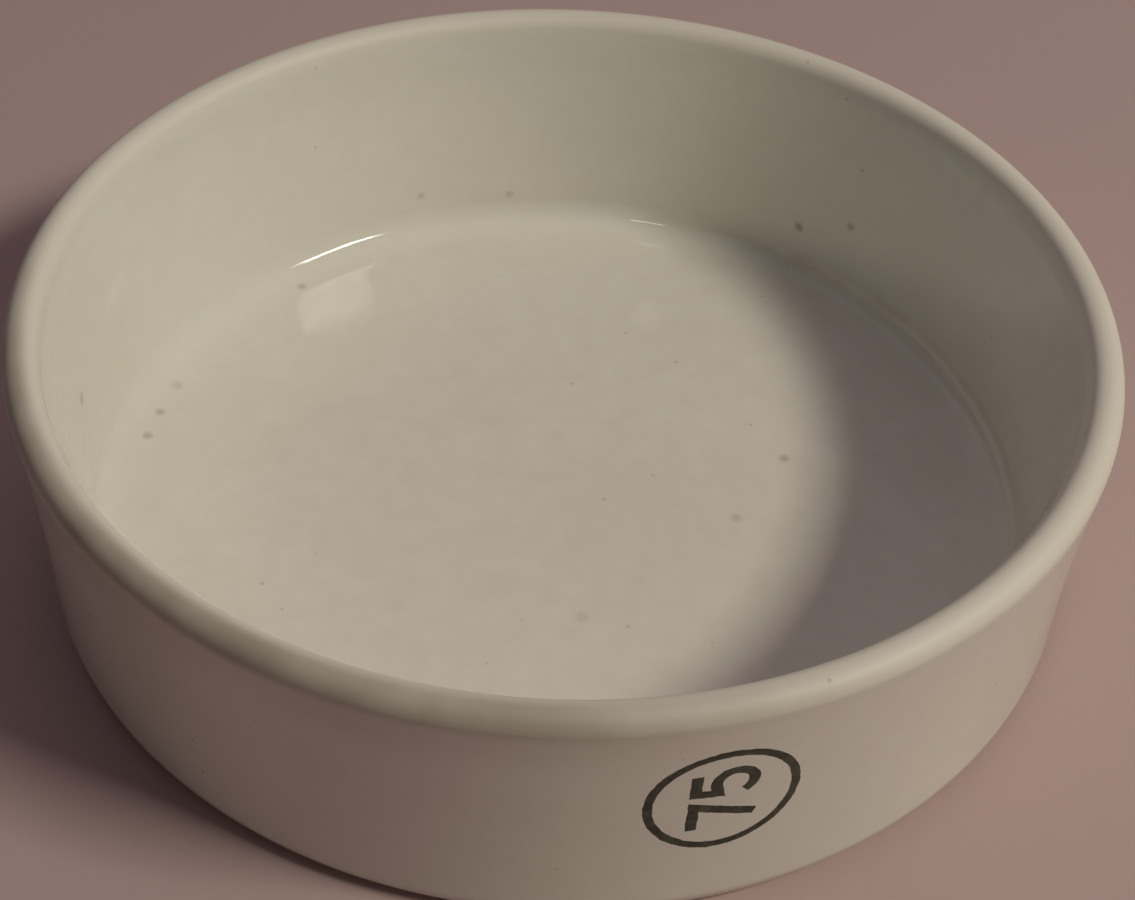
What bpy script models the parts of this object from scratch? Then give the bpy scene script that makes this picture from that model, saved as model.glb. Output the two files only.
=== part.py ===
"""A low-form evaporating dish in glazed porcelain, 75 mm across and 20 mm high.

One turned and fired porcelain body carries everything. A thin glaze covers its inside, its
rim and its outer wall, and stops just above the foot, which stays bare. A size mark in fired
ink sits on the outer wall: a ring with the dish's diameter in millimetres inside it.

The dish stands on Z = 0 with its axis on Z, its mouth up and its front towards -Y.
"""

from math import asin, cos, degrees, pi, radians, sin, sqrt

import bmesh
import bpy
from mathutils import Vector

# Driving dimensions of the dish, in metres, with angles in degrees.
DISH_RADIUS = 0.0375  # widest circle, at the middle of the lip
DISH_HEIGHT = 0.020
BASE_RADIUS = 0.0365  # outer wall where it leaves the foot's corner
LIP_THICKNESS = 0.0024
FOOT_CORNER_RADIUS = 0.0018
MOUTH_LEAN = 12.5  # inner wall from the vertical where it leaves the lip
WALL_FOOT_LEAN = 0.0  # and where it meets its corner with the floor
INNER_CORNER_TOP = 0.0036  # height of that meeting
INNER_CORNER_RADIUS = 0.0018
FLOOR_BLEND_RADIUS = 0.012  # the wider sweep between the corner and the floor
FLOOR_BLEND_ANGLE = 12.0
FLOOR_TILT = 0.3  # how far the dished floor tilts at its edge
FOOT_RING_RADIUS = 0.0305  # inner edge of the flat ring that the dish rests on
FOOT_RECESS = 0.0003
FOOT_BEVEL = 0.0004

# The glaze, and the clearance that pieces in contact keep.
GLAZE_THICKNESS = 0.0002
PIECE_GAP = 0.0003
GLAZE_LINE_ANGLE = -52.0  # direction that the skin faces where the glaze stops

# The size mark, drawn flat and then wrapped on the wall.
MARK_ANGLE = -73.7  # around the dish from +X; the front is at -90
MARK_HEIGHT = 0.0113
MARK_INK = 0.00015
MARK_STROKE = 0.00072
RING_RADIUS = 0.00450
RING_STROKE = 0.00060
DIGIT_HEIGHT = 0.0042
DIGIT_PITCH = 0.0032
DIGIT_BOWL_RADIUS = 0.00115

# Fineness of the turned surfaces.
TURN_STEPS = 64
RING_STEPS = 40

PORCELAIN_COLOUR = (0.74, 0.70, 0.62)
GLAZE_COLOUR = (0.84, 0.81, 0.75)
INK_COLOUR = (0.015, 0.025, 0.012)


def clear_scene():
    for item in list(bpy.data.objects):
        bpy.data.objects.remove(item, do_unlink=True)


def make_material(name, colour, roughness):
    material = bpy.data.materials.new(name)
    material.use_nodes = True
    shader = material.node_tree.nodes["Principled BSDF"]
    shader.inputs["Base Color"].default_value = (*colour, 1.0)
    shader.inputs["Roughness"].default_value = roughness
    shader.inputs["Metallic"].default_value = 0.0
    return material


def add_object(name, mesh_data, material):
    bmesh.ops.recalc_face_normals(mesh_data, faces=mesh_data.faces)
    mesh = bpy.data.meshes.new(name)
    mesh_data.to_mesh(mesh)
    mesh_data.free()
    mesh.materials.append(material)
    mesh.shade_smooth()
    mesh.set_sharp_from_angle(angle=radians(40))
    item = bpy.data.objects.new(name, mesh)
    bpy.context.scene.collection.objects.link(item)
    return item


# ---------------------------------------------------------------- turned outlines
# An outline is a list of stations. Each is a point in the half plane (radius, height) and
# the unit normal that leaves the porcelain there.


def facing(angle):
    return Vector((cos(radians(angle)), sin(radians(angle))))


def arc_on(start, radius, first, last, steps):
    """Stations of an arc that begins at start, while its normal turns from first to last.

    The radius is positive where the porcelain bulges and negative where it is hollow.
    """
    centre = start - radius * facing(first)
    angles = [first + (last - first) * step / steps for step in range(steps + 1)]
    return [(centre + radius * facing(angle), facing(angle)) for angle in angles]


def inset(outline, depth):
    """The outline moved into the porcelain by depth."""
    return [(point - depth * normal, normal) for point, normal in outline]


def points_of(outline):
    return [point for point, normal in outline]


LIP_RADIUS = LIP_THICKNESS / 2
LIP_CENTRE = Vector((DISH_RADIUS - LIP_RADIUS, DISH_HEIGHT - LIP_RADIUS))
FOOT_EDGE = Vector((BASE_RADIUS - FOOT_CORNER_RADIUS, 0.0))


def flare_radius():
    """Radius of the outer wall's hollow arc, tangent to the foot's corner and to the lip."""
    rise = LIP_CENTRE.y - FOOT_CORNER_RADIUS
    reach = BASE_RADIUS - LIP_CENTRE.x
    return (rise**2 + reach**2 - LIP_RADIUS**2) / (2 * (LIP_RADIUS - reach))


FLARE_RADIUS = flare_radius()
FLARE_ANGLE = degrees(asin((LIP_CENTRE.y - FOOT_CORNER_RADIUS) / (FLARE_RADIUS + LIP_RADIUS)))


def wall_radius(height):
    """Radius of the outer wall at a height between the foot's corner and the lip."""
    rise = height - FOOT_CORNER_RADIUS
    return BASE_RADIUS + FLARE_RADIUS - sqrt(FLARE_RADIUS**2 - rise**2)


def foot_corner(first, last, steps):
    """Stations of the foot's outer corner between two directions."""
    start = FOOT_EDGE + FOOT_CORNER_RADIUS * (facing(first) - facing(-90))
    return arc_on(start, FOOT_CORNER_RADIUS, first, last, steps)


def glazed_outline():
    """The finished surface from the glaze line, up and over the lip, to the floor's centre."""
    mouth_facing = 180 - MOUTH_LEAN
    foot_facing = 180 - WALL_FOOT_LEAN
    blend_facing = 90 + FLOOR_BLEND_ANGLE
    floor_facing = 90 + FLOOR_TILT
    corner = foot_corner(GLAZE_LINE_ANGLE, 0, 3)
    flare = arc_on(corner[-1][0], -FLARE_RADIUS, 0, -FLARE_ANGLE, 4)
    lip = arc_on(flare[-1][0], LIP_RADIUS, -FLARE_ANGLE, 0, 1)
    lip += arc_on(lip[-1][0], LIP_RADIUS, 0, 90, 4)[1:]
    lip += arc_on(lip[-1][0], LIP_RADIUS, 90, mouth_facing, 4)[1:]
    drop = lip[-1][0].y - INNER_CORNER_TOP
    wall_bulge = drop / (facing(mouth_facing).y - facing(foot_facing).y)
    wall = arc_on(lip[-1][0], wall_bulge, mouth_facing, foot_facing, 4)
    hollow = arc_on(wall[-1][0], -INNER_CORNER_RADIUS, foot_facing, blend_facing, 5)
    blend = arc_on(hollow[-1][0], -FLOOR_BLEND_RADIUS, blend_facing, floor_facing, 2)
    floor_edge = blend[-1][0]
    floor_radius = floor_edge.x / sin(radians(FLOOR_TILT))
    floor = arc_on(floor_edge, -floor_radius, floor_facing, 90, 3)
    return corner + flare[1:] + lip[1:] + wall[1:] + hollow[1:] + blend[1:] + floor[1:]


def turn(name, outline, material):
    """A solid turned about Z from an outline whose two ends lie on the axis."""
    mesh_data = bmesh.new()
    corners = [mesh_data.verts.new((point.x, 0.0, point.y)) for point in outline]
    for lower, upper in zip(corners, corners[1:]):
        mesh_data.edges.new((lower, upper))
    bmesh.ops.spin(
        mesh_data,
        geom=mesh_data.verts[:] + mesh_data.edges[:],
        cent=(0.0, 0.0, 0.0),
        axis=(0.0, 0.0, 1.0),
        angle=2 * pi,
        steps=TURN_STEPS,
        use_merge=True,
    )
    bmesh.ops.remove_doubles(mesh_data, verts=mesh_data.verts, dist=1e-6)
    return add_object(name, mesh_data, material)


def on_axis(point):
    return Vector((0.0, point.y))


def make_body(material):
    """The bare porcelain: the glazed surface set in by the coat, and the foot at full size."""
    coat = GLAZE_THICKNESS + PIECE_GAP
    bare_end = GLAZE_LINE_ANGLE - degrees(PIECE_GAP / FOOT_CORNER_RADIUS)
    foot = foot_corner(-90, bare_end, 2)
    under = [
        Vector((0.0, FOOT_RECESS)),
        Vector((FOOT_RING_RADIUS - FOOT_BEVEL, FOOT_RECESS)),
        Vector((FOOT_RING_RADIUS, 0.0)),
    ]
    glazed = points_of(inset(glazed_outline(), coat))
    glazed[-1] = on_axis(glazed[-1])
    step = points_of(inset(foot[-1:], coat))
    return turn("porcelain_body", under + points_of(foot) + step + glazed, material)


def make_glaze(material):
    """The glaze as one continuous skin over the wall, the lip and the inside."""
    surface = points_of(glazed_outline())
    inner = points_of(inset(glazed_outline(), GLAZE_THICKNESS))
    surface[-1] = on_axis(surface[-1])
    inner[-1] = on_axis(inner[-1])
    return turn("glaze_coat", surface[::-1] + inner, material)


# ---------------------------------------------------------------- the size mark
# A stroke's path is drawn flat, reading to the right, around the mark's centre. The whole
# mark is then turned a quarter so that it reads up the wall.


def on_wall(drawn, stand_off):
    """A drawn point on the outer wall, standing off it."""
    height = MARK_HEIGHT + drawn.x
    angle = radians(MARK_ANGLE) - drawn.y / BASE_RADIUS
    radius = wall_radius(height) + stand_off
    return Vector((radius * cos(angle), radius * sin(angle), height))


def stroke_edges(path, width, closed):
    """The two sides of a stroke of even width along a path, mitred at its corners."""
    sides = []
    count = len(path)
    for index, point in enumerate(path):
        before = path[index - 1] if closed or index else None
        after = path[(index + 1) % count] if closed or index + 1 < count else None
        into = (point - before).normalized() if before else (after - point).normalized()
        out = (after - point).normalized() if after else into
        along = (into + out).normalized()
        reach = width / 2 / along.dot(out)
        across = Vector((-along.y, along.x)) * reach
        sides.append((point + across, point - across))
    return sides


def make_stroke(name, path, width, closed, material):
    """A stroke of ink as a thin solid that follows the wall's curve."""
    mesh_data = bmesh.new()
    rings = []
    for left, right in stroke_edges(path, width, closed):
        near, far = PIECE_GAP, PIECE_GAP + MARK_INK
        places = (on_wall(left, near), on_wall(right, near), on_wall(right, far), on_wall(left, far))
        rings.append([mesh_data.verts.new(place) for place in places])
    pairs = list(zip(rings, rings[1:]))
    if closed:
        pairs.append((rings[-1], rings[0]))
    else:
        mesh_data.faces.new(rings[0])
        mesh_data.faces.new(rings[-1])
    for first, second in pairs:
        for side in range(4):
            after = (side + 1) % 4
            mesh_data.faces.new((first[side], first[after], second[after], second[side]))
    return add_object(name, mesh_data, material)


def polar(centre, radius, first, last, steps):
    angles = [radians(first + (last - first) * step / steps) for step in range(steps + 1)]
    return [centre + radius * Vector((cos(angle), sin(angle))) for angle in angles]


def ring_path():
    return polar(Vector((0, 0)), RING_RADIUS, 0, 360, RING_STEPS)[:-1]


def seven_path():
    top = DIGIT_HEIGHT / 2 - MARK_STROKE / 2
    half = DIGIT_BOWL_RADIUS
    return [Vector((-half, top)), Vector((half, top)), Vector((-0.2 * half, -DIGIT_HEIGHT / 2))]


def five_path():
    top = DIGIT_HEIGHT / 2 - MARK_STROKE / 2
    half = DIGIT_BOWL_RADIUS
    bowl = polar(Vector((0, half - top)), half, 110, -145, 10)
    shoulder = Vector((-0.8 * half, bowl[0].y - 0.12 * half))
    return [Vector((0.9 * half, top)), Vector((-0.7 * half, top)), shoulder] + bowl


def shifted(path, offset):
    return [point + Vector((offset, 0.0)) for point in path]


def make_mark(material):
    half = DIGIT_PITCH / 2
    make_stroke("mark_ring", ring_path(), RING_STROKE, True, material)
    make_stroke("mark_digit_7", shifted(seven_path(), -half), MARK_STROKE, False, material)
    make_stroke("mark_digit_5", shifted(five_path(), half), MARK_STROKE, False, material)


def main():
    clear_scene()
    make_body(make_material("porcelain", PORCELAIN_COLOUR, 0.6))
    make_glaze(make_material("glaze", GLAZE_COLOUR, 0.15))
    make_mark(make_material("ink", INK_COLOUR, 0.4))


main()
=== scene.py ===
"""The looks of a low-form porcelain evaporating dish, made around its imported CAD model.

The dish stands on Z = 0 with its axis on Z, its mouth up and its front towards -Y. Each CAD
solid is replaced by a finer piece of the same size: the bare body, the glaze that covers it,
and the fired size mark. Lengths are in metres.
"""

from math import asin, cos, degrees, exp, hypot, pi, radians, sin

import bmesh
import bpy
from mathutils import Matrix, Vector, noise


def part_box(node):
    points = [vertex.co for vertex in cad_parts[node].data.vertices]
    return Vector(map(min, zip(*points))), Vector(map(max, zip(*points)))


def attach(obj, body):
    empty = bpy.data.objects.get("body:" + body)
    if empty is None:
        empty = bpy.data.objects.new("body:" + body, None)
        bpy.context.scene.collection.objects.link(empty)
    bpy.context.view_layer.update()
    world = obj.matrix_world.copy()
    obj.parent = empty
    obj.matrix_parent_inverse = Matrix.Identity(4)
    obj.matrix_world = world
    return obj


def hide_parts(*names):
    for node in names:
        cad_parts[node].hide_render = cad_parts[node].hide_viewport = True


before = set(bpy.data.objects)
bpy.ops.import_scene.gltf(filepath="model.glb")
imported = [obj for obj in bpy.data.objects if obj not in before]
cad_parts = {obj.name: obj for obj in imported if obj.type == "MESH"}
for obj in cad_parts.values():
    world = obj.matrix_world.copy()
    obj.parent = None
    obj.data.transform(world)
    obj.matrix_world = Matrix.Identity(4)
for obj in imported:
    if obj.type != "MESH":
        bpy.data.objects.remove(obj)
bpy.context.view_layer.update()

MM = 0.001
GLAZE_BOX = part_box("glaze_coat")

# The dish's outline. Its radius and height come from the box of the CAD glaze.
DISH_RADIUS = GLAZE_BOX[1].x
DISH_HEIGHT = GLAZE_BOX[1].z
BASE_RADIUS = 36.5 * MM
LIP_THICKNESS = 2.4 * MM
FOOT_CORNER_RADIUS = 1.8 * MM
MOUTH_LEAN = 12.5
WALL_FOOT_LEAN = 0.0
INNER_CORNER_TOP = 3.6 * MM
INNER_CORNER_RADIUS = 1.8 * MM
FLOOR_BLEND_RADIUS = 12 * MM
FLOOR_BLEND_ANGLE = 12.0
FLOOR_TILT = 0.3
FOOT_RING_RADIUS = 30.5 * MM
FOOT_RECESS = 0.3 * MM
FOOT_BEVEL = 0.4 * MM
GLAZE_THICKNESS = 0.2 * MM
GLAZE_LINE_ANGLE = -52.0
BOND_GAP = 0.01 * MM  # between the glaze and the body, too fine to see

# How far the fired dish departs from the turned one. All of it stays inside the CAD box.
RIM_OVAL = 0.06 * MM
RIM_WAVE = 0.06 * MM
GLAZE_RIPPLE = 0.012 * MM
GLAZE_RIPPLE_LENGTH = 9 * MM
TURNING_DEPTH = 0.003 * MM
TURNING_PITCH = 1.6 * MM
GLAZE_ROLL = 0.07 * MM  # the thicker roll where the glaze ends above the foot
GLAZE_ROLL_LENGTH = 0.6 * MM
TURN_STEPS = 320

# The size mark.
MARK_ANGLE = -73.7
MARK_HEIGHT = 11.3 * MM
MARK_STROKE = 0.72 * MM
RING_RADIUS = 4.50 * MM
RING_STROKE = 0.60 * MM
DIGIT_HEIGHT = 4.2 * MM
DIGIT_PITCH = 3.2 * MM
DIGIT_BOWL_RADIUS = 1.15 * MM
INK_CROWN = 0.015 * MM
INK_SUNK = 0.030 * MM
INK_WOBBLE = 0.05 * MM
INK_EDGE_SUNK = 0.002 * MM
INK_RIB_SPACING = 0.12 * MM
INK_COLUMNS = 6

# The camera stands in front of the dish and above it, close, as a hand-held one would.
CAMERA_PLACE = (0.0, -110.6 * MM, 108.0 * MM)
CAMERA_DIP = 42.8
CAMERA_TURN = 0.27
CAMERA_ROLL = 2.7
CAMERA_LENS = 66.2

# The glaze's colours, and the direction in which the lip is painted darkest: thin tan glaze with
# painted shade, away from the key lamp.
CREAM = (0.86, 0.845, 0.79)
CREAM_SHADE = (0.84, 0.82, 0.762)
CREAM_MOTTLE = (0.80, 0.77, 0.70)
# Pooled glaze in the corner, darkened further as painted shade.
POOLED_AND_SHADE = (0.46, 0.38, 0.30)
# Thin tan glaze on the lip, darkened as painted shade on its side away from the key lamp.
THIN_TAN_AND_SHADE = (0.47, 0.42, 0.35)
# The lip's top, made paler as painted light where it faces the lamps.
LIP_TOP_LIGHT = (0.88, 0.84, 0.77)
SPECK_BROWN = (0.16, 0.115, 0.075)
LIP_SHADE_ANGLE = -128.0
CORNER_SHADE_ANGLE = 38.0  # and towards which the corner's pooled glaze darkens most, as painted shade where the key lamp's shadow falls
CORNER_LINE = 2.9 * MM
CORNER_INSIDE = 34.0 * MM  # the radius within which the corner lies
DUST_PITCH = 3.2 * MM
NOISE_OFFSET = (0.131, 0.077, 0.053)  # metres, for every noise texture
GLAZE_IOR = 1.5

# The bare porcelain, the ink, and the studio.
BARE_CLAY = (0.76, 0.72, 0.64)
BARE_CLAY_SHADE = (0.68, 0.63, 0.54)
BARE_CLAY_WORN = (0.44, 0.38, 0.31)
INK_DENSE = (0.016, 0.022, 0.011)
INK_THIN = (0.06, 0.08, 0.045)
FLOOR_RADIUS = 3.0
FLOOR_COLOUR = (0.57, 0.42, 0.425)
FLOOR_ROUGHNESS = 0.85
WORLD_COLOUR = (1.0, 0.92, 0.90)
WORLD_STRENGTH = 0.004

# The lamps: name, azimuth and elevation in degrees, distance and size in metres, colour,
# then power in watts. The key lamp is a soft one at the right. The second makes the short
# streak at the back of the corner. The others are large and weak.
LAMPS = (
    ("key", -22, 45.6, 0.7, (0.19, 0.105), (1.0, 0.945, 0.77), 2.32),
    ("second", -114, 54, 0.9, (0.085, 0.05), (1.0, 0.95, 0.82), 0.19),
    ("overhead", 90, 80, 1.2, (1.2, 1.2), (1.0, 0.80, 0.98), 1.15),
    ("back", 90, 33, 1.2, (1.7, 1.0), (1.0, 0.82, 0.72), 1.5),
    ("left", 180, 35, 1.2, (1.0, 0.8), (1.0, 0.6, 0.5), 0.05),
)

# The larger iron specks inside the dish: angle around it, then radius, height and size in
# millimetres, then how dark the speck is.
SPECKS = (
    (-177, 33.9, 9.8, 0.72, 0.36),
    (173, 31.2, 1.8, 0.58, 0.36),
    (168, 31.0, 1.8, 0.55, 0.38),
    (162, 31.2, 1.8, 0.62, 0.20),
    (134, 31.0, 1.8, 0.52, 0.34),
    (56, 33.5, 6.0, 0.62, 0.52),
    (48, 33.8, 8.3, 0.56, 0.42),
    (15, 17.5, 1.6, 0.58, 0.36),
    (-9, 13.0, 1.6, 0.62, 0.24),
    (-81, 12.5, 1.6, 0.70, 0.16),
    (112, 33.4, 4.9, 0.54, 0.24),
    (99, 33.3, 4.2, 0.54, 0.24),
)


# ---------------------------------------------------------------- outlines
# An outline is a list of stations. Each is a point in the half plane (radius, height) and
# the unit normal that leaves the porcelain there.


def facing(angle):
    return Vector((cos(radians(angle)), sin(radians(angle))))


def arc_on(start, radius, first, last, steps):
    """Stations of an arc from start, while its normal turns from first to last.

    The radius is positive where the porcelain bulges and negative where it is hollow.
    """
    centre = start - radius * facing(first)
    angles = [first + (last - first) * step / steps for step in range(steps + 1)]
    return [(centre + radius * facing(angle), facing(angle)) for angle in angles]


def line_on(start, end, normal, steps):
    return [(start.lerp(end, step / steps), normal) for step in range(steps + 1)]


def inset(outline, depth):
    return [(point - depth * normal, normal) for point, normal in outline]


LIP_RADIUS = LIP_THICKNESS / 2
LIP_CENTRE = Vector((DISH_RADIUS - LIP_RADIUS, DISH_HEIGHT - LIP_RADIUS))
FOOT_EDGE = Vector((BASE_RADIUS - FOOT_CORNER_RADIUS, 0.0))


def flare_radius():
    """Radius of the outer wall's hollow arc, tangent to the foot's corner and to the lip."""
    rise = LIP_CENTRE.y - FOOT_CORNER_RADIUS
    reach = BASE_RADIUS - LIP_CENTRE.x
    return (rise**2 + reach**2 - LIP_RADIUS**2) / (2 * (LIP_RADIUS - reach))


FLARE_RADIUS = flare_radius()
FLARE_ANGLE = degrees(asin((LIP_CENTRE.y - FOOT_CORNER_RADIUS) / (FLARE_RADIUS + LIP_RADIUS)))


def wall_station(height):
    """The outer wall at a height between the foot's corner and the lip."""
    lean = asin((height - FOOT_CORNER_RADIUS) / FLARE_RADIUS)
    radius = BASE_RADIUS + FLARE_RADIUS * (1 - cos(lean))
    return Vector((radius, height)), facing(-degrees(lean))


def foot_corner(first, last, steps):
    start = FOOT_EDGE + FOOT_CORNER_RADIUS * (facing(first) - facing(-90))
    return arc_on(start, FOOT_CORNER_RADIUS, first, last, steps)


def glazed_outline(fineness):
    """The finished surface from the glaze line, over the lip, to the floor's centre."""

    def steps(count):
        return max(1, round(count * fineness))

    mouth_facing = 180 - MOUTH_LEAN
    foot_facing = 180 - WALL_FOOT_LEAN
    blend_facing = 90 + FLOOR_BLEND_ANGLE
    floor_facing = 90 + FLOOR_TILT
    corner = foot_corner(GLAZE_LINE_ANGLE, 0, steps(12))
    flare = arc_on(corner[-1][0], -FLARE_RADIUS, 0, -FLARE_ANGLE, steps(36))
    lip = arc_on(flare[-1][0], LIP_RADIUS, -FLARE_ANGLE, mouth_facing, steps(36))
    drop = lip[-1][0].y - INNER_CORNER_TOP
    wall_bulge = drop / (facing(mouth_facing).y - facing(foot_facing).y)
    wall = arc_on(lip[-1][0], wall_bulge, mouth_facing, foot_facing, steps(34))
    hollow = arc_on(wall[-1][0], -INNER_CORNER_RADIUS, foot_facing, blend_facing, steps(20))
    blend = arc_on(hollow[-1][0], -FLOOR_BLEND_RADIUS, blend_facing, floor_facing, steps(8))
    floor_edge = blend[-1][0]
    floor_radius = floor_edge.x / sin(radians(FLOOR_TILT))
    floor = arc_on(floor_edge, -floor_radius, floor_facing, 90, steps(56))
    joined = corner
    for stretch in (flare, lip, wall, hollow, blend, floor):
        joined = joined + stretch[1:]
    return joined


# ---------------------------------------------------------------- the fired shape


def fired(point, angle):
    """A point of the half plane moved as the wall moved in the kiln, at an angle in radians."""
    lift = max(0.0, point.y / DISH_HEIGHT)
    oval = RIM_OVAL * lift**2 * (0.5 + 0.5 * cos(2 * (angle - 0.6)))
    wave = RIM_WAVE * lift**6 * (0.5 + 0.5 * cos(3 * angle + 1.1))
    return Vector((point.x - oval, point.y - wave))


def in_space(point, angle):
    return Vector((point.x * cos(angle), point.x * sin(angle), point.y))


def ripple(place):
    """The slow unevenness of the glaze's surface, never above the turned outline."""
    slow = noise.noise(place / GLAZE_RIPPLE_LENGTH)
    quick = noise.noise(place / (GLAZE_RIPPLE_LENGTH / 2.7))
    return GLAZE_RIPPLE * (0.7 * slow + 0.3 * quick - 1)


def skin_place(station, angle, stand_off=0.0):
    """Where the glaze's surface really is, for a station of the turned outline."""
    point, normal = station
    depth = ripple(in_space(point, angle)) + stand_off
    depth -= TURNING_DEPTH * (1 + sin(2 * pi * (point.x + point.y) / TURNING_PITCH + angle))
    return in_space(fired(point + depth * normal, angle), angle)


def inside_place(angle, radius, height):
    """The place inside the bowl nearest to a radius and height, at an angle in degrees."""
    target = Vector((radius, height))
    inside = [station for station in glazed_outline(1.0) if station[0].x < LIP_CENTRE.x]
    nearest = min(inside, key=lambda station: (station[0] - target).length)
    return skin_place(nearest, radians(angle))


def roll_place(station, angle):
    """The glaze's surface near its lower edge, where it gathers in a roll."""
    point, normal = station
    from_line = hypot(*(point - glaze_line_point()))
    roll = GLAZE_ROLL * exp(-((from_line / GLAZE_ROLL_LENGTH) ** 2))
    swell = 0.75 + 0.25 * noise.noise(in_space(point, angle) / (6 * MM))
    return skin_place(station, angle, roll * swell)


def glaze_line_point():
    return foot_corner(GLAZE_LINE_ANGLE, 0, 1)[0][0]


# ---------------------------------------------------------------- mesh tools


def add_object(name, mesh_data, material, sharp_angle=50):
    bmesh.ops.recalc_face_normals(mesh_data, faces=mesh_data.faces)
    mesh = bpy.data.meshes.new(name)
    mesh_data.to_mesh(mesh)
    mesh_data.free()
    mesh.materials.append(material)
    mesh.shade_smooth()
    mesh.set_sharp_from_angle(angle=radians(sharp_angle))
    piece = bpy.data.objects.new(name, mesh)
    bpy.context.scene.collection.objects.link(piece)
    return piece


def turned(name, outline, place, material):
    """A closed turned piece whose outline begins and ends on the axis."""
    mesh_data = bmesh.new()
    angles = [2 * pi * step / TURN_STEPS for step in range(TURN_STEPS)]
    first = mesh_data.verts.new(place(outline[0], 0.0))
    last = mesh_data.verts.new(place(outline[-1], 0.0))
    rings = []
    for station in outline[1:-1]:
        rings.append([mesh_data.verts.new(place(station, angle)) for angle in angles])
    for here, after in zip(rings, rings[1:]):
        for step in range(TURN_STEPS):
            beside = (step + 1) % TURN_STEPS
            mesh_data.faces.new((here[step], here[beside], after[beside], after[step]))
    for pole, ring in ((first, rings[0]), (last, rings[-1])):
        for step in range(TURN_STEPS):
            mesh_data.faces.new((pole, ring[step], ring[(step + 1) % TURN_STEPS]))
    return add_object(name, mesh_data, material)


def on_axis(station):
    return Vector((0.0, station[0].y)), station[1]


# ---------------------------------------------------------------- materials


def new_material(name):
    material = bpy.data.materials.new(name)
    material.use_nodes = True
    tree = material.node_tree
    return material, tree, tree.nodes["Principled BSDF"]


class Graph:
    """Short ways to add nodes to one material and to join them."""

    def __init__(self, tree):
        self.tree = tree

    def add(self, kind, inputs=(), **settings):
        node = self.tree.nodes.new(kind)
        for name, value in settings.items():
            setattr(node, name, value)
        for socket, value in dict(inputs).items():
            self.feed(node.inputs[socket], value)
        return node

    def feed(self, socket, value):
        if isinstance(value, bpy.types.NodeSocket):
            self.tree.links.new(value, socket)
        else:
            socket.default_value = value

    def math(self, operation, first, second=0.0):
        node = self.add("ShaderNodeMath", {0: first, 1: second}, operation=operation)
        return node.outputs[0]

    def smooth(self, value, low, high, to_low=0.0, to_high=1.0):
        """value carried smoothly from low..high to to_low..to_high."""
        inputs = {0: value, 1: low, 2: high, 3: to_low, 4: to_high}
        node = self.add("ShaderNodeMapRange", inputs, interpolation_type="SMOOTHSTEP")
        return node.outputs[0]

    def noise(self, place, length, detail=2.0, roughness=0.5):
        """Noise taken away from the origin, where its octaves would line up in a star."""
        moved = self.vector_math("ADD", place, NOISE_OFFSET)["Vector"]
        inputs = {"Vector": moved, "Scale": 1 / length, "Detail": detail, "Roughness": roughness}
        return self.add("ShaderNodeTexNoise", inputs).outputs["Fac"]

    def mapping(self, place, change, amount):
        return self.add("ShaderNodeMapping", {"Vector": place, change: amount}).outputs[0]

    def bump(self, shader, height, strength, distance):
        inputs = {"Strength": strength, "Distance": distance, "Height": height}
        self.feed(shader.inputs["Normal"], self.add("ShaderNodeBump", inputs).outputs[0])

    def mix(self, share, first, second):
        node = self.add("ShaderNodeMix", data_type="RGBA")
        self.feed(node.inputs["Factor"], share)
        for socket, colour in (("A", first), ("B", second)):
            self.feed(node.inputs[socket], (*colour, 1.0) if isinstance(colour, tuple) else colour)
        return node.outputs["Result"]

    def product(self, first, *others):
        for other in others:
            first = self.math("MULTIPLY", first, other)
        return first

    def vector_math(self, operation, first, second=(0.0, 0.0, 0.0)):
        return self.add("ShaderNodeVectorMath", {0: first, 1: second}, operation=operation).outputs

    def distance(self, first, second):
        return self.vector_math("DISTANCE", first, second)["Value"]

    def place(self):
        return self.add("ShaderNodeTexCoord").outputs["Object"]

    def share_towards(self, place, angle):
        """How far a place lies towards an angle in degrees, as a share of the dish's radius."""
        along = (cos(radians(angle)) / DISH_RADIUS, sin(radians(angle)) / DISH_RADIUS, 0.0)
        return self.vector_math("DOT_PRODUCT", place, along)["Value"]

    def radius_and_height(self, place):
        parts = self.add("ShaderNodeSeparateXYZ", {0: place})
        flat = self.vector_math("MULTIPLY", place, (1.0, 1.0, 0.0))["Vector"]
        return self.vector_math("LENGTH", flat)["Value"], parts.outputs["Z"]


def speck_mask(graph, place):
    """The larger iron specks: one where a place is on a speck, and nothing elsewhere."""
    ragged = graph.math("MULTIPLY", graph.noise(place, 0.35 * MM, 2.0), 0.25 * MM)
    mask = 0.0
    for angle, radius, height, size, strength in SPECKS:
        centre = inside_place(angle, radius * MM, height * MM)
        gap = graph.math("ADD", graph.distance(place, centre), ragged)
        spot = graph.smooth(gap, 0.3 * size * MM, size * MM + 0.15 * MM, strength, 0.0)
        mask = graph.math("MAXIMUM", mask, spot)
    return mask


def dust_mask(graph, place):
    """Fine specks and pinholes scattered through the glaze."""
    cells = graph.add("ShaderNodeTexVoronoi", {"Vector": place, "Scale": 1 / DUST_PITCH})
    kept = graph.smooth(cells.outputs["Color"], 0.45, 0.55)
    near = graph.smooth(cells.outputs["Distance"], 0.02, 0.07, 1.0, 0.0)
    return graph.math("MULTIPLY", near, kept)


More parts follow.
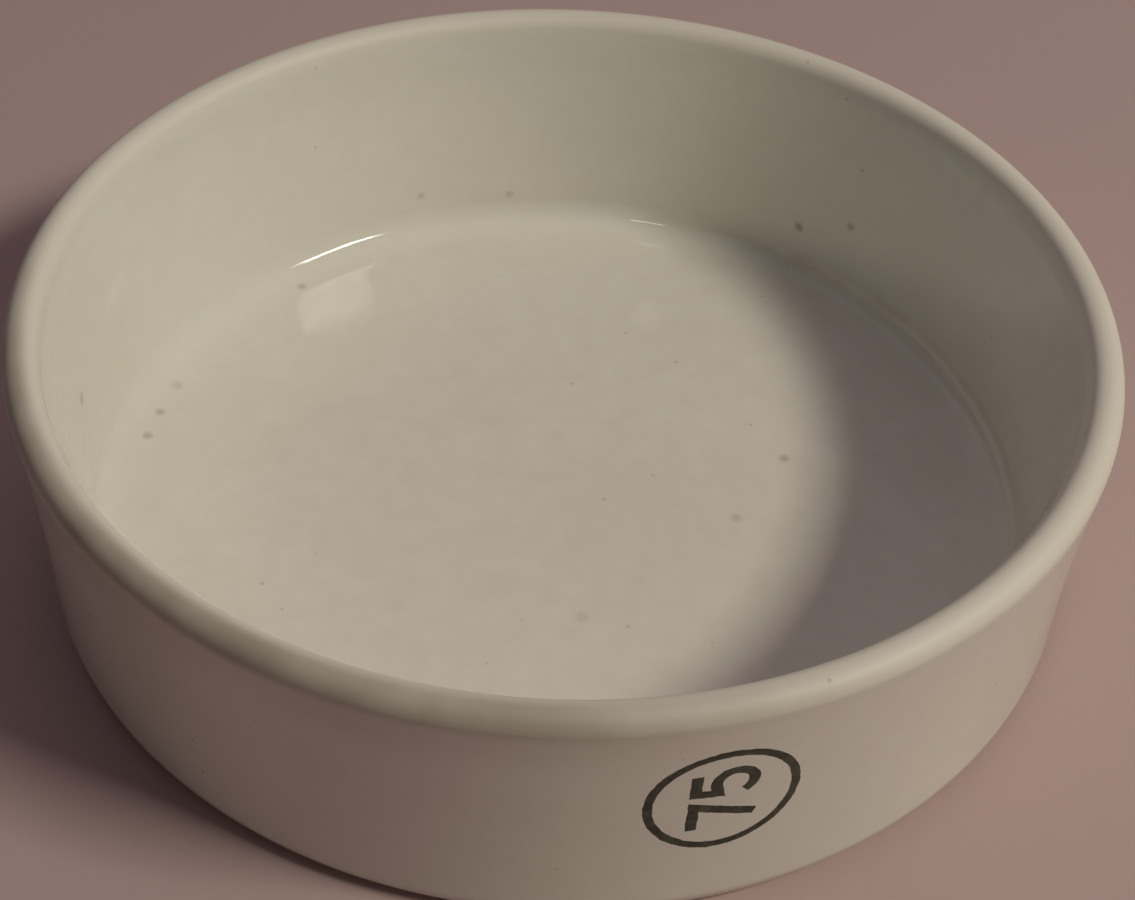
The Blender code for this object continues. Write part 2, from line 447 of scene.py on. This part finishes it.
def pooled_and_shaded_corner_mask(graph, radius, height, place):
    """Where glaze has pooled along the corner between the floor and the inner wall, darkened
    further as painted shade on the side in the key lamp's shadow.
    """
    low = graph.smooth(height, CORNER_LINE - 0.5 * MM, CORNER_LINE)
    high = graph.smooth(height, CORNER_LINE, CORNER_LINE + 0.8 * MM, 1.0, 0.0)
    inside = graph.smooth(radius, CORNER_INSIDE, CORNER_INSIDE + 0.5 * MM, 1.0, 0.0)
    uneven = graph.smooth(graph.noise(place, 3 * MM, 3.0), 0.3, 0.6, 0.45, 1.0)
    # Painted shade: the corner is darkest on the side that the key lamp's shadow covers.
    side = graph.smooth(graph.share_towards(place, CORNER_SHADE_ANGLE), 0.6, 0.88, 0.05, 1.0)
    return graph.product(low, high, inside, uneven, side)


def thin_and_shaded_lip_mask(graph, radius, height, place):
    """Where the glaze ran thin over the lip, tan and darkened as painted shade, most of all at the
    front left, away from the key lamp.
    """
    near_top = graph.smooth(height, DISH_HEIGHT - 6 * MM, DISH_HEIGHT - 2 * MM)
    at_top = graph.smooth(height, DISH_HEIGHT - 2.2 * MM, DISH_HEIGHT - 0.4 * MM, 0.25, 1.0)
    outside = graph.smooth(radius, DISH_RADIUS - 2.1 * MM, DISH_RADIUS - 1.0 * MM)
    # Painted shade: darkest on the lip's side away from the key lamp.
    side = graph.smooth(graph.share_towards(place, LIP_SHADE_ANGLE), 0.3, 0.96, 0.08, 1.0)
    patchy = graph.smooth(graph.noise(place, 6 * MM, 4.0), 0.3, 0.65, 0.7, 1.0)
    return graph.product(at_top, near_top, outside, side, patchy)


def scratch_mask(graph, place, height):
    """Faint wear on the floor, as fine straight scratches in two directions."""
    on_floor = graph.smooth(height, 2.0 * MM, 2.6 * MM, 1.0, 0.0)
    marks = 0.0
    for turn in (0.4, 1.9):
        along = graph.mapping(place, "Rotation", (0.0, 0.0, turn))
        drawn = graph.mapping(along, "Scale", (0.06, 1.0, 1.0))
        lines = graph.noise(drawn, 0.35 * MM, 1.0)
        marks = graph.math("MAXIMUM", marks, graph.smooth(lines, 0.68, 0.74))
    return graph.product(marks, on_floor, graph.smooth(graph.noise(place, 8 * MM), 0.4, 0.6))


def glaze_material():
    material, tree, shader = new_material("cream_glaze")
    graph = Graph(tree)
    place = graph.place()
    radius, height = graph.radius_and_height(place)
    scratches = scratch_mask(graph, place, height)
    cloud = graph.smooth(graph.noise(place, 15 * MM, 3.0), 0.35, 0.65)
    colour = graph.mix(cloud, CREAM, CREAM_SHADE)
    fine = graph.smooth(graph.noise(place, 1.8 * MM, 3.0), 0.35, 0.7, 0.0, 0.25)
    colour = graph.mix(fine, colour, CREAM_MOTTLE)
    # Pooled glaze along the corner, with painted shade on its shaded side.
    corner_pool_and_shade = graph.product(pooled_and_shaded_corner_mask(graph, radius, height, place), 0.4)
    colour = graph.mix(corner_pool_and_shade, colour, POOLED_AND_SHADE)
    # Painted light: the lip's top made paler where it faces the lamps.
    painted_lip_light = graph.smooth(height, DISH_HEIGHT - 1.6 * MM, DISH_HEIGHT - 0.6 * MM)
    colour = graph.mix(painted_lip_light, colour, LIP_TOP_LIGHT)
    # Thin tan glaze over the lip, with painted shade on its side away from the key lamp.
    colour = graph.mix(thin_and_shaded_lip_mask(graph, radius, height, place), colour, THIN_TAN_AND_SHADE)
    # Darker in patches towards the foot.
    foot = graph.smooth(height, 1.0 * MM, 2.0 * MM, 0.35, 0.0)
    colour = graph.mix(graph.product(foot, graph.noise(place, 2 * MM, 3.0)), colour, POOLED_AND_SHADE)
    colour = graph.mix(graph.product(dust_mask(graph, place), 0.28), colour, SPECK_BROWN)
    colour = graph.mix(speck_mask(graph, place), colour, SPECK_BROWN)
    graph.feed(shader.inputs["Base Color"], colour)
    rough = graph.smooth(graph.noise(place, 5 * MM, 4.0), 0.3, 0.7, 0.045, 0.085)
    on_lip = graph.smooth(height, DISH_HEIGHT - 2.4 * MM, DISH_HEIGHT - 1.0 * MM, 0.0, 0.5)
    rough = graph.math("ADD", rough, graph.math("ADD", on_lip, graph.product(scratches, 0.12)))
    graph.feed(shader.inputs["Roughness"], rough)
    peel = graph.noise(place, 1.3 * MM, 2.0)
    pitted = graph.math("SUBTRACT", peel, graph.product(dust_mask(graph, place), 4.0))
    graph.bump(shader, pitted, 0.5, 0.003 * MM)
    shader.inputs["IOR"].default_value = GLAZE_IOR
    return material


def bisque_material():
    material, tree, shader = new_material("bare_porcelain")
    graph = Graph(tree)
    place = graph.place()
    radius, height = graph.radius_and_height(place)
    grain = graph.noise(place, 0.5 * MM, 4.0, 0.7)
    cloud = graph.smooth(graph.noise(place, 9 * MM, 3.0), 0.35, 0.65)
    colour = graph.mix(cloud, BARE_CLAY, BARE_CLAY_SHADE)
    rubbed = graph.smooth(graph.noise(place, 2.5 * MM, 4.0, 0.6), 0.45, 0.7, 0.1, 0.8)
    worn = graph.product(graph.smooth(radius, 29.5 * MM, 31.0 * MM), rubbed)
    colour = graph.mix(worn, colour, BARE_CLAY_WORN)
    colour = graph.mix(graph.product(dust_mask(graph, place), 0.7), colour, SPECK_BROWN)
    graph.feed(shader.inputs["Base Color"], colour)
    graph.feed(shader.inputs["Roughness"], graph.smooth(grain, 0.3, 0.7, 0.6, 0.85))
    turning = graph.math("SINE", graph.math("MULTIPLY", radius, 2 * pi / (0.7 * MM)))
    relief = graph.math("ADD", grain, graph.product(turning, 0.25))
    graph.bump(shader, relief, 0.6, 0.02 * MM)
    return material


def ink_material():
    material, tree, shader = new_material("green_ink")
    graph = Graph(tree)
    place = graph.place()
    patchy = graph.smooth(graph.noise(place, 0.7 * MM, 4.0, 0.6), 0.35, 0.75)
    colour = graph.mix(patchy, INK_DENSE, INK_THIN)
    graph.feed(shader.inputs["Base Color"], colour)
    graph.feed(shader.inputs["Roughness"], graph.smooth(patchy, 0.0, 1.0, 0.15, 0.32))
    graph.bump(shader, patchy, 0.5, 0.006 * MM)
    return material


# ---------------------------------------------------------------- body and glaze


def make_body():
    """The bare porcelain: under the glaze all over, and at full size at its foot."""
    coat = GLAZE_THICKNESS + BOND_GAP
    foot = foot_corner(-90, GLAZE_LINE_ANGLE, 10)
    down = facing(-90)
    recess_edge = Vector((FOOT_RING_RADIUS - FOOT_BEVEL, FOOT_RECESS))
    under = line_on(Vector((0.0, FOOT_RECESS)), recess_edge, down, 30)
    bevel = line_on(recess_edge, Vector((FOOT_RING_RADIUS, 0.0)), down, 3)[1:]
    ring = line_on(Vector((FOOT_RING_RADIUS, 0.0)), FOOT_EDGE, down, 8)[1:-1]
    glazed = inset(glazed_outline(0.35), coat)
    glazed[-1] = on_axis(glazed[-1])
    outline = under + bevel + ring + foot + glazed

    def place(station, angle):
        return in_space(fired(station[0], angle), angle)

    return turned("bare_body", outline, place, bisque_material())


def make_glaze():
    """The glaze as one skin, its hidden side coarser than its surface."""
    surface = glazed_outline(1.0)
    surface[-1] = on_axis(surface[-1])
    hidden = inset(glazed_outline(0.35), GLAZE_THICKNESS)
    hidden[-1] = on_axis(hidden[-1])
    on_surface = {id(station) for station in surface}

    def place(station, angle):
        if id(station) in on_surface:
            return roll_place(station, angle)
        return in_space(fired(station[0], angle), angle)

    return turned("glaze_skin", surface[::-1] + hidden, place, glaze_material())


# ---------------------------------------------------------------- the size mark


def on_wall(drawn, stand_off):
    """A drawn point on the glazed wall. The mark is turned a quarter, to read up the wall."""
    angle = radians(MARK_ANGLE) - drawn.y / BASE_RADIUS
    return skin_place(wall_station(MARK_HEIGHT + drawn.x), angle, stand_off)


def stroke_edges(path, width, closed):
    """The two sides of a stroke of even width along a path, mitred at its corners."""
    sides = []
    count = len(path)
    for index, point in enumerate(path):
        before = path[index - 1] if closed or index else None
        after = path[(index + 1) % count] if closed or index + 1 < count else None
        into = (point - before).normalized() if before else (after - point).normalized()
        out = (after - point).normalized() if after else into
        along = (into + out).normalized()
        reach = width / 2 / along.dot(out)
        across = Vector((-along.y, along.x)) * reach
        sides.append((point + across, point - across))
    return sides


def refined(sides, closed, spacing):
    """The sides of a stroke with more ribs along it, about spacing apart."""
    ribs = []
    ends = sides + sides[:1] if closed else sides
    for (left, right), (next_left, next_right) in zip(ends, ends[1:]):
        length = ((next_left + next_right) / 2 - (left + right) / 2).length
        count = max(1, round(length / spacing))
        for step in range(count):
            share = step / count
            ribs.append((left.lerp(next_left, share), right.lerp(next_right, share)))
    return ribs if closed else ribs + [ends[-1]]


def bled(point, seed):
    """A drawn edge point moved a little, as ink creeps when it is fired."""
    where = Vector((point.x, point.y, seed * MM)) / (0.45 * MM)
    elsewhere = where + Vector((7, 3, 5))
    return point + INK_WOBBLE * Vector((noise.noise(where), noise.noise(elsewhere)))


def make_stroke(name, path, width, closed, material):
    """A film of ink: sunk in the glaze at its edges and slightly crowned in its middle."""
    mesh_data = bmesh.new()
    rings = []
    for left, right in refined(stroke_edges(path, width, closed), closed, INK_RIB_SPACING):
        left, right = bled(left, 0), bled(right, 9)
        ring = []
        for column in range(INK_COLUMNS + 1):
            share = column / INK_COLUMNS
            crown = INK_CROWN * (1 - (2 * share - 1) ** 4) - INK_EDGE_SUNK
            ring.append(mesh_data.verts.new(on_wall(left.lerp(right, share), crown)))
        for share in (1.0, 0.0):
            ring.append(mesh_data.verts.new(on_wall(left.lerp(right, share), -INK_SUNK)))
        rings.append(ring)
    pairs = list(zip(rings, rings[1:]))
    if closed:
        pairs.append((rings[-1], rings[0]))
    else:
        mesh_data.faces.new(rings[0])
        mesh_data.faces.new(rings[-1])
    for first, second in pairs:
        for side in range(len(first)):
            after = (side + 1) % len(first)
            mesh_data.faces.new((first[side], first[after], second[after], second[side]))
    return add_object(name, mesh_data, material, sharp_angle=60)


def polar(centre, radius, first, last, steps):
    angles = [radians(first + (last - first) * step / steps) for step in range(steps + 1)]
    return [centre + radius * Vector((cos(angle), sin(angle))) for angle in angles]


def ring_path():
    return polar(Vector((0, 0)), RING_RADIUS, 0, 360, 90)[:-1]


def seven_path():
    top = DIGIT_HEIGHT / 2 - MARK_STROKE / 2
    half = DIGIT_BOWL_RADIUS
    return [Vector((-half, top)), Vector((half, top)), Vector((-0.2 * half, -DIGIT_HEIGHT / 2))]


def five_path():
    top = DIGIT_HEIGHT / 2 - MARK_STROKE / 2
    half = DIGIT_BOWL_RADIUS
    bowl = polar(Vector((0, half - top)), half, 110, -145, 24)
    shoulder = Vector((-0.8 * half, bowl[0].y - 0.12 * half))
    return [Vector((0.9 * half, top)), Vector((-0.7 * half, top)), shoulder] + bowl


def shifted(path, offset):
    return [point + Vector((offset, 0.0)) for point in path]


def make_mark():
    ink = ink_material()
    seven = shifted(seven_path(), -DIGIT_PITCH / 2)
    five = shifted(five_path(), DIGIT_PITCH / 2)
    return {
        "mark_ring": make_stroke("ink_ring", ring_path(), RING_STROKE, True, ink),
        "mark_digit_7": make_stroke("ink_7", seven, MARK_STROKE, False, ink),
        "mark_digit_5": make_stroke("ink_5", five, MARK_STROKE, False, ink),
    }


# ---------------------------------------------------------------- floor, lights and camera


def make_floor():
    mesh_data = bmesh.new()
    bmesh.ops.create_circle(mesh_data, cap_ends=True, radius=FLOOR_RADIUS, segments=96)
    material, tree, shader = new_material("pale_floor")
    shader.inputs["Base Color"].default_value = (*FLOOR_COLOUR, 1.0)
    shader.inputs["Roughness"].default_value = FLOOR_ROUGHNESS
    add_object("floor", mesh_data, material)


def direction(azimuth, elevation):
    flat = cos(radians(elevation))
    turn = radians(azimuth)
    return Vector((flat * cos(turn), flat * sin(turn), sin(radians(elevation))))


def add_light(name, azimuth, elevation, distance, size, colour, power):
    """A rectangular lamp that faces the dish, its first side level."""
    lamp = bpy.data.lights.new(name, "AREA")
    lamp.shape = "RECTANGLE"
    lamp.size, lamp.size_y = size
    lamp.color = colour
    lamp.energy = power
    item = bpy.data.objects.new(name, lamp)
    towards = direction(azimuth, elevation)
    item.location = towards * distance
    item.rotation_euler = towards.to_track_quat("Z", "Y").to_euler()
    bpy.context.scene.collection.objects.link(item)


def make_world():
    world = bpy.data.worlds.new("studio")
    world.use_nodes = True
    shade = world.node_tree.nodes["Background"]
    shade.inputs["Color"].default_value = (*WORLD_COLOUR, 1.0)
    shade.inputs["Strength"].default_value = WORLD_STRENGTH
    bpy.context.scene.world = world


def make_camera():
    lens = bpy.data.cameras.new("camera")
    lens.sensor_width = 36.0
    lens.lens = CAMERA_LENS
    lens.clip_start = 0.01
    item = bpy.data.objects.new("camera", lens)
    turn, dip, roll = radians(CAMERA_TURN), radians(CAMERA_DIP), radians(CAMERA_ROLL)
    ahead = Vector((sin(turn) * cos(dip), cos(turn) * cos(dip), -sin(dip)))
    level = Vector((cos(turn), -sin(turn), 0.0))
    upright = level.cross(ahead)
    right = level * cos(roll) + upright * sin(roll)
    up = right.cross(ahead)
    matrix = Matrix((right, up, -ahead)).transposed().to_4x4()
    matrix.translation = Vector(CAMERA_PLACE)
    item.matrix_world = matrix
    bpy.context.scene.collection.objects.link(item)
    bpy.context.scene.camera = item


def main():
    make_camera()
    make_world()
    for lamp in LAMPS:
        add_light(*lamp)
    make_floor()
    pieces = {"porcelain_body": make_body(), "glaze_coat": make_glaze()}
    pieces.update(make_mark())
    for node, piece in pieces.items():
        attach(piece, "root")
        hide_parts(node)
    bpy.context.scene.view_settings.view_transform = "Standard"


main()
